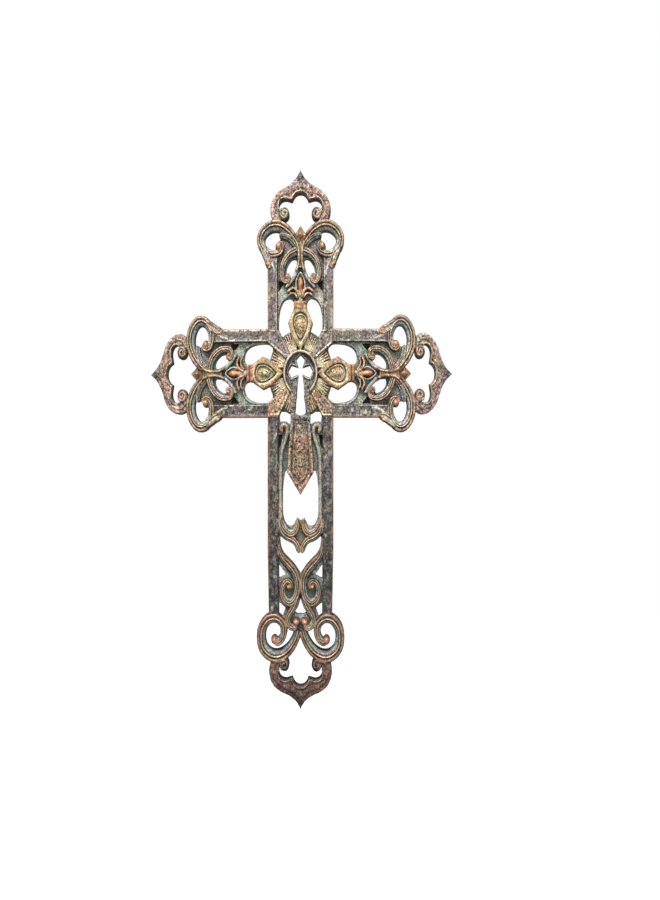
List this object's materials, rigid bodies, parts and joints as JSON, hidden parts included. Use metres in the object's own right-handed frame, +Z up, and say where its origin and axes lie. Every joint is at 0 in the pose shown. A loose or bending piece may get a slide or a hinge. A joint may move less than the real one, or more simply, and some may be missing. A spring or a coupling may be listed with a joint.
{
  "type": "metal wall cross",
  "caption": "Cast metal wall cross with flat rails, openwork scrolls, a cross-shaped centre opening and ogee finials, hung flat on a wall as an ornament.",
  "frame": {"origin": "the wall mount: a point on the flat back, on the centre line behind the lily of the upper arm, 50 mm above the crossing of the arms", "axes": "+Z up along the long shaft, +X to the right seen from the front, +Y into the wall; the relief faces -Y"},
  "size_m": [0.26, 0.012, 0.34],
  "materials": {
    "cast_metal": "rough antique casting, charcoal rails, verdigris flanks and rubbed copper and brass crests"
  },
  "bodies": {
    "root": {"cast_cross": "cast_metal"}
  },
  "joints": []
}
